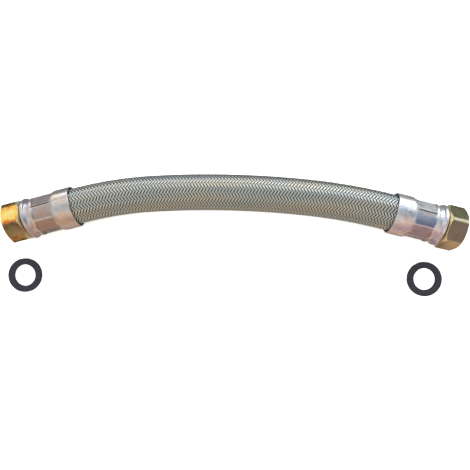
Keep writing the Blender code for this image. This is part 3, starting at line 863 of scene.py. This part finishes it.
def golden_finish(name, side, mottling, painted_light_marks):
    """Golden brass with painted light by its turn from the top towards the front."""
    made, nodes, links, shader = new_finish(name)
    place, split = own_axes(nodes, links)
    turn = own_turn(nodes, links, split, side)
    stops = [(0.0, painted_light_marks[0][1])] + stops_by_degrees(painted_light_marks)
    painted_light = colour_by(nodes, links, turn, stops)
    mottle = noise(nodes, links, place, scale=190.0, detail=3.0)
    spots = colour_by(nodes, links, mottle, NUT_SPOTS)
    colour = multiply_in_part(nodes, links, painted_light, spots)
    colour.inputs["Factor"].default_value = mottling
    # The chamfer on the hose's side is brighter. A corner there lies on the cone of the chamfer.
    cone = nodes.new("ShaderNodeMath")
    cone.operation = "MULTIPLY_ADD"
    cone.inputs[1].default_value = -CHAMFER_SLOPE
    cone.inputs[2].default_value = NUT_BACK_RADIUS * CHAMFER_SLOPE - NUT_BACK
    links.new(radius_of(nodes, links, split), cone.inputs[0])
    from_cone = nodes.new("ShaderNodeMath")
    links.new(cone.outputs[0], from_cone.inputs[0])
    links.new(split.outputs["Z"], from_cone.inputs[1])
    brighter_chamfer = nodes.new("ShaderNodeMix")
    brighter_chamfer.data_type = "RGBA"
    brighter_chamfer.inputs["B"].default_value = (*CHAMFER_COLOUR, 1)
    on_chamfer = spread(
        nodes, links, from_cone.outputs[0], low=1.0, high=0.0, from_low=0.0001, from_high=0.0003,
    )
    links.new(on_chamfer, brighter_chamfer.inputs["Factor"])
    links.new(colour.outputs["Result"], brighter_chamfer.inputs["A"])
    links.new(brighter_chamfer.outputs["Result"], shader.inputs["Base Color"])
    links.new(spread(nodes, links, mottle, low=0.20, high=0.38), shader.inputs["Roughness"])
    forged = noise(nodes, links, place, scale=420.0, detail=4.0)
    raise_by(nodes, links, shader, forged, distance=0.0001, strength=0.5 * mottling)
    shader.inputs["Metallic"].default_value = 1.0
    return made


NUT_SPOTS = (                 # the mottling, from one end of its range to the other
    (0.34, (0.80, 0.46, 0.26)), (0.46, (0.98, 0.82, 0.55)), (0.53, (0.92, 1.00, 0.72)),
    (0.60, (1, 1, 1)),
)
CHAMFER_COLOUR = (0.98, 0.88, 0.56)
# Each mark of painted light is a turn in degrees from the top towards the front, and the colour
# there.
NUT_PAINTED_LIGHT = {
    "left": (
        (-120, (0.80, 0.55, 0.22)), (-103, (0.60, 0.40, 0.18)), (-98, (0.14, 0.10, 0.06)),
        (-37, (0.14, 0.10, 0.06)), (-32, (1.00, 0.62, 0.20)), (-18, (1.00, 0.82, 0.32)),
        (6, (1.00, 0.68, 0.20)), (13.5, (0.60, 0.24, 0.12)), (17, (0.24, 0.18, 0.12)),
        (40, (0.38, 0.28, 0.17)), (68, (0.56, 0.36, 0.18)), (76, (0.12, 0.10, 0.07)),
    ),
    "right": (
        (-120, (0.80, 0.55, 0.22)), (-73, (0.60, 0.45, 0.25)), (-66, (0.24, 0.23, 0.13)),
        (-16, (0.27, 0.26, 0.15)), (-12.5, (1.00, 1.00, 0.80)), (-7.5, (1.00, 1.00, 0.80)),
        (-5, (0.26, 0.21, 0.17)), (46, (0.28, 0.21, 0.17)), (50, (0.60, 0.44, 0.28)),
        (54, (0.62, 0.41, 0.24)), (105, (0.46, 0.34, 0.22)), (120, (0.80, 0.55, 0.22)),
    ),
}
NUT_MOTTLING = {"left": 1.0, "right": 0.35}

for side_name, side in (("left", -1), ("right", 1)):
    nut = hexagon_bar(side_name + "_union_nut", side * math.radians(NUT_TURN[side_name]))
    combine(nut, turned_piece("nut_blank", NUT_BLANK_OUTLINE, NUT_BLANK_SIDES), "INTERSECT")
    combine(nut, turned_piece("nut_bore", NUT_BORE_OUTLINE, NUT_BORE_SIDES), "DIFFERENCE")
    thread = thread_ridge("thread_ridge")
    bpy.ops.object.select_all(action="DESELECT")
    thread.select_set(True)
    nut.select_set(True)
    bpy.context.view_layer.objects.active = nut
    bpy.ops.object.join()
    own_place(nut)
    set_in_place(nut, end_frame(side))
    smooth(nut, degrees=18)
    nut.data.materials.clear()
    nut.data.materials.append(golden_finish(
        side_name + "_nut_finish", side, NUT_MOTTLING[side_name], NUT_PAINTED_LIGHT[side_name],
    ))
    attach(nut, side_name + "_union")
    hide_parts(side_name + "_nut")


# The sealing rings. Two flat rings of charcoal rubber, stamped out of sheet, that come loose
# with the hose and lie on the table in front of it.

RING_OUTLINE = (
    (0.0, 0.01075), (0.0, 0.01625), (0.00007, 0.01643), (0.00025, 0.0165), (0.00225, 0.0165),
    (0.00243, 0.01643), (0.0025, 0.01625), (0.0025, 0.01075), (0.00243, 0.01057), (0.00225, 0.0105),
    (0.00025, 0.0105), (0.00007, 0.01057),
)
RING_SIDES = 96
RING_HUES = ((0.35, (0.010, 0.010, 0.014)), (0.70, (0.024, 0.023, 0.030)))

ring_rubber, nodes, links, shader = new_finish("charcoal_ring_rubber")
where = nodes.new("ShaderNodeTexCoord")
grain = noise(nodes, links, where.outputs["Object"], scale=1500.0, detail=4.0)
links.new(colour_by(nodes, links, grain, RING_HUES), shader.inputs["Base Color"])
raise_by(nodes, links, shader, grain, distance=0.00006, strength=0.6)
shader.inputs["Roughness"].default_value = 0.80
shader.inputs["Specular IOR Level"].default_value = 0.2

for side_name in ("left", "right"):
    low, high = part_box(side_name + "_ring")
    ring = turned_piece(side_name + "_sealing_ring", RING_OUTLINE, RING_SIDES)
    set_in_place(ring, Matrix.Translation(((low.x + high.x) / 2, (low.y + high.y) / 2, low.z)))
    smooth(ring, degrees=40)
    ring.data.materials.append(ring_rubber)
    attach(ring, "hose")
    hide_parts(side_name + "_ring")


# The hose as a whole. A stiff hose of 382 mm from end to end of its liner, all of it in view,
# with a fitting crimped on at both ends.

HOSE_POINTS = 33
along = np.linspace(-LINER_END, LINER_END, HOSE_POINTS)
